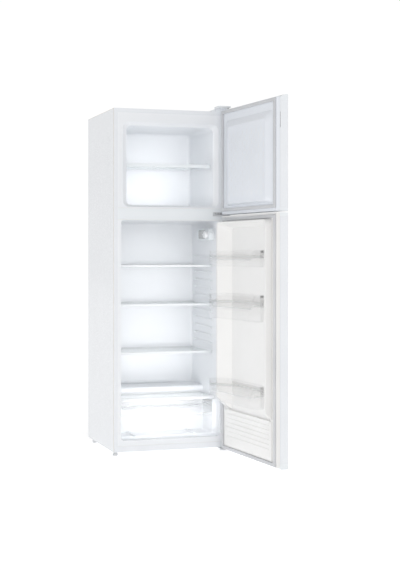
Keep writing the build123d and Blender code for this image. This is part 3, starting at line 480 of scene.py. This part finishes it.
def add_lens():
    """A ribbed, domed cover over the lamp."""
    (x0, x1), (d0, d1), (z0, z1) = span("lamp_cover")
    across, along = 14, 60
    rows = []
    for i in range(along + 1):
        t = i / along
        row = []
        for j in range(across + 1):
            s = j / across
            edge = min(eased(t, 0, 0.1), 1 - eased(t, 0.9, 1), eased(s, 0, 0.18), 1 - eased(s, 0.82, 1))
            rib = 0.5 * math.cos(2 * math.pi * LENS_RIBS * t)
            x = x1 - (x1 - x0 - 0.6) * edge - 0.6 * edge * rib
            row.append((x, d0 + (d1 - d0) * t, z0 + (z1 - z0) * s))
        rows.append(row)
    points = [point for row in rows for point in row]
    width = across + 1
    faces = []
    for i in range(along):
        for j in range(across):
            a = i * width + j
            faces.append((a, a + 1, a + width + 1, a + width))
    border = list(range(width)) + [i * width + across for i in range(1, along + 1)]
    border += [along * width + j for j in range(across - 1, -1, -1)]
    border += [i * width for i in range(along - 1, 0, -1)]
    faces.append(tuple(reversed(border)))
    add_piece("ribbed_lamp_cover", "cabinet", "lens_plastic", [(points, faces)], CABINET, ["lamp_cover"])


DIAL_BACK = 207.4                 # x of the dial's rear face
DIAL_TICKS = (207.6, 208.1)       # x of the ticks' two faces, on the housing


def add_knob():
    """A fluted dial with a raised grip bar, and ticks round it on the housing."""
    (x0, x1), (d0, d1), (z0, z1) = span("thermostat_knob")
    depth, height, radius = (d0 + d1) / 2, (z0 + z1) / 2, (z1 - z0) / 2
    face = x0 + 3.5

    def sideways(a, b, level):
        return (level, depth + a, height + b)

    def fluted(angle, at):
        return -0.035 * (0.5 + 0.5 * math.cos(24 * angle)) if at > radius - 3 else 0

    profile = [(radius, DIAL_BACK), (radius, face + 3.0), (radius - 0.8, face + 1.2),
               (radius - 2.4, face + 0.2), (radius - 4.0, face + 0.1), (radius - 5.0, face + 1.0),
               (5.0, face + 1.2)]
    dial = lathe(profile, sideways, 96, fluted)
    bar = [(-13.5, -2.4), (13.5, -2.4), (13.5, 2.4), (-13.5, 2.4)]
    grip_rings = [(0.0, face + 1.4), (0.0, x0 + 1.2), (-0.5, x0 + 0.3), (-1.2, x0)]
    grip = skin([[sideways(p.x, p.y, level) for p in rounded_outline(bar, 2.3, offset, 0.6)]
                 for offset, level in grip_rings])
    axle = lathe([(2.9, DIAL_BACK - 0.4), (2.9, x1)], sideways, 20)
    add_piece("fluted_thermostat_dial", "thermostat_knob", "knob_plastic", [dial, grip, axle], CABINET,
              ["thermostat_knob"])
    ticks = []
    for k in range(7):
        angle = math.radians(-135 + 45 * k)
        direction = Vector((math.cos(angle), math.sin(angle)))
        side = Vector((-direction.y, direction.x))
        near, far = (radius + 2.0) * direction, (radius + 5.5) * direction
        corners = [near - side * 0.6, near + side * 0.6, far + side * 0.6, far - side * 0.6]
        ticks.append(prism(corners, *DIAL_TICKS, sideways))
    add_piece("dial_ticks", "cabinet", "white_plastic", ticks, CABINET, (), "tick_grey")


add_lens()
add_knob()


# ---- screws ---------------------------------------------------------------------------------
def screw_head(place, radius, rise):
    """A domed head, and a dark cross on its flat top: painted shade in place of the recessed cross."""
    cross = []
    arm, wide = radius * 0.55, radius * 0.16
    profile = [(radius, 0.0), (radius, rise * 0.35), (radius * 0.86, rise * 0.75), (radius * 0.62, rise)]
    dome = lathe(profile, place, 24)
    for flip in (0, 1):
        corners = [(-arm, -wide), (arm, -wide), (arm, wide), (-arm, wide)]
        if flip:
            corners = [(-b, a) for a, b in corners]
        cross.append(prism([Vector(c) for c in corners], rise - 0.124, rise + 0.03, place))
    return dome, cross


def add_screws(name, body, places, radius, rise, replaces=()):
    """Screw heads, with the crosses as a darker piece of their own that paints the shade of the recesses."""
    domes, crosses = [], []
    for place in places:
        dome, cross = screw_head(place, radius, rise)
        domes.append(dome)
        crosses += cross
    add_piece(name, body, "pin_steel", domes, CABINET, replaces)
    # the crosses carry the painted shade of the recesses
    add_piece(name + "_shaded_crosses", body, "pin_steel", crosses, CABINET, (), "painted_recess_shade")


def facing_front(x, depth, z):
    """Places a turned shape on a face that looks forward."""
    return lambda a, b, level: (x + a, depth - level, z + b)


def facing_back(x, depth, z):
    """Places a turned shape on a face that looks back."""
    return lambda a, b, level: (x - a, depth + level, z + b)


def facing_up(x, depth, z):
    """Places a turned shape on a face that looks up."""
    return lambda a, b, level: (x + a, depth + b, z + level)


hinge_heads = [facing_front(x, -2.6, 1098.5) for x in (212, 226, 240)]
hinge_heads += [facing_up(x, 26, CABINET_TOP + 3) for x in (228, 258)]
add_screws("hinge_screw_heads", "cabinet", hinge_heads, 4.2, 1.8, ["hinge_screws"])
PANEL_REAR = span("back_panel")[1][1]
panel_heads = [facing_back(x, PANEL_REAR, z) for x in (-242, 242) for z in range(268, 1560, 160)]
panel_heads += [facing_back(x, PANEL_REAR, z) for x in (-120, 0, 120) for z in (246, 1552)]
add_screws("back_panel_screws", "cabinet", panel_heads, 4.0, 0.9)


# ---- compressor bay -------------------------------------------------------------------------
def add_bay_lining():
    """Thin steel sheets with a folded rear edge over the foam at both sides of the bay."""
    rear = PANEL_REAR - 4
    inner = span("compressor_rail")[0][1]
    front = span("compressor")[1][0] - 40
    low, high = span("compressor_rail")[2][1] + 0.5, span("back_panel")[2][0] - 4
    sheets = []
    for side in (-1, 1):
        section = [(inner + 0.4, front), (inner + 0.4, rear), (inner - 5, rear), (inner - 5, rear - 0.7),
                   (inner - 0.3, rear - 0.7), (inner - 0.3, front)]
        sheets.append(prism([Vector((side * x, depth)) for x, depth in section], low, high, upright))
    add_piece("bay_lining", "cabinet", "galvanised", sheets, CABINET)


add_bay_lining()


# ---- camera, light and floor ----------------------------------------------------------------
def add_camera():
    """A long lens, to the left of the object and at its upper middle."""
    data = bpy.data.cameras.new("camera")
    data.lens = 74.07
    data.sensor_width = 36.0
    data.shift_x = 0.0526
    data.shift_y = -0.0547
    data.clip_end = 100.0
    camera = bpy.data.objects.new("camera", data)
    camera.location = (-1.632, -5.3491, 0.9126)
    camera.rotation_euler = (math.radians(90), 0, -math.radians(17.66))
    bpy.context.scene.collection.objects.link(camera)
    bpy.context.scene.camera = camera


def add_area_light(name, place, target, size, power, spread):
    """A soft rectangular light, width by height, that looks at a point and isn't seen itself."""
    data = bpy.data.lights.new(name, "AREA")
    data.shape = "RECTANGLE"
    data.size, data.size_y = size
    data.energy = power
    data.spread = math.radians(spread)
    light = bpy.data.objects.new(name, data)
    light.location = place
    direction = Vector(target) - Vector(place)
    light.rotation_euler = direction.to_track_quat("-Z", "Y").to_euler()
    light.visible_camera = False
    bpy.context.scene.collection.objects.link(light)


def add_world(seen, level, overhead):
    """A white surround that lights less from overhead than from the horizon."""
    world = bpy.data.worlds.new("studio")
    world.use_nodes = True
    tree = world.node_tree
    lit = tree.nodes["Background"]
    lit.inputs["Color"].default_value = (1, 1, 1, 1)
    source = tree.nodes.new("ShaderNodeTexCoord")
    parts = tree.nodes.new("ShaderNodeSeparateXYZ")
    tree.links.new(source.outputs["Generated"], parts.inputs["Vector"])
    tree.links.new(ranged(tree, parts.outputs["Z"], level, overhead, (0.0, 0.9)), lit.inputs["Strength"])
    shown = tree.nodes.new("ShaderNodeBackground")
    shown.inputs["Color"].default_value = (1, 1, 1, 1)
    shown.inputs["Strength"].default_value = seen
    path = tree.nodes.new("ShaderNodeLightPath")
    mix = tree.nodes.new("ShaderNodeMixShader")
    tree.links.new(path.outputs["Is Camera Ray"], mix.inputs["Fac"])
    tree.links.new(lit.outputs["Background"], mix.inputs[1])
    tree.links.new(shown.outputs["Background"], mix.inputs[2])
    tree.links.new(mix.outputs["Shader"], tree.nodes["World Output"].inputs["Surface"])
    bpy.context.scene.world = world


def add_floor():
    """A wide, pale floor with a slow unevenness."""
    mesh = bpy.data.meshes.new("floor")
    reach = 30.0
    corners = [(-reach, -reach, 0), (reach, -reach, 0), (reach, reach, 0), (-reach, reach, 0)]
    mesh.from_pydata(corners, [], [(0, 1, 2, 3)])
    floor = bpy.data.objects.new("floor", mesh)
    bpy.context.scene.collection.objects.link(floor)
    material, tree, shader = new_material("floor")
    tone = tinted(tree, noise(tree, 0.5), (0.93, 0.93, 0.93), (0.95, 0.95, 0.95))
    tree.links.new(tone, shader.inputs["Base Color"])
    shader.inputs["Roughness"].default_value = 0.9
    shader.inputs["Specular IOR Level"].default_value = 0.0
    shader.inputs["Emission Color"].default_value = (1, 1, 1, 1)
    shader.inputs["Emission Strength"].default_value = 0.46
    floor.data.materials.append(material)


MOUTH = FRONT * MM
# name: place, the point it looks at, width and height, power, spread
LIGHTS = {
    "front_key": ((-0.3, -5.2, 1.0), (0.0, 0.0, 0.9), (1.6, 1.6), 7.0, 120),
    "freezer_glow": ((0.0, MOUTH - 0.02, 1.42), (0.0, 1.0, 1.42), (0.40, 0.12), 0.085, 90),
    "freezer_low_glow": ((0.0, MOUTH - 0.02, 1.22), (0.0, 1.0, 1.22), (0.38, 0.12), 0.17, 90),
    "fridge_glow": ((0.0, MOUTH + 0.02, 0.63), (0.0, 1.0, 0.63), (0.44, 0.76), 0.40, 90),
    "crisper_glow": ((0.0, MOUTH + 0.02, 0.16), (0.0, 1.0, 0.16), (0.42, 0.12), 0.38, 150),
    "door_fill": ((-0.45, -0.72, 0.52), (0.235, -0.55, 0.52), (0.5, 0.95), 0.40, 100),
}

add_camera()
add_world(1.02, 0.89, 0.52)
for name, settings in LIGHTS.items():
    add_area_light(name, *settings)
add_floor()
bpy.context.scene.view_settings.view_transform = "Standard"
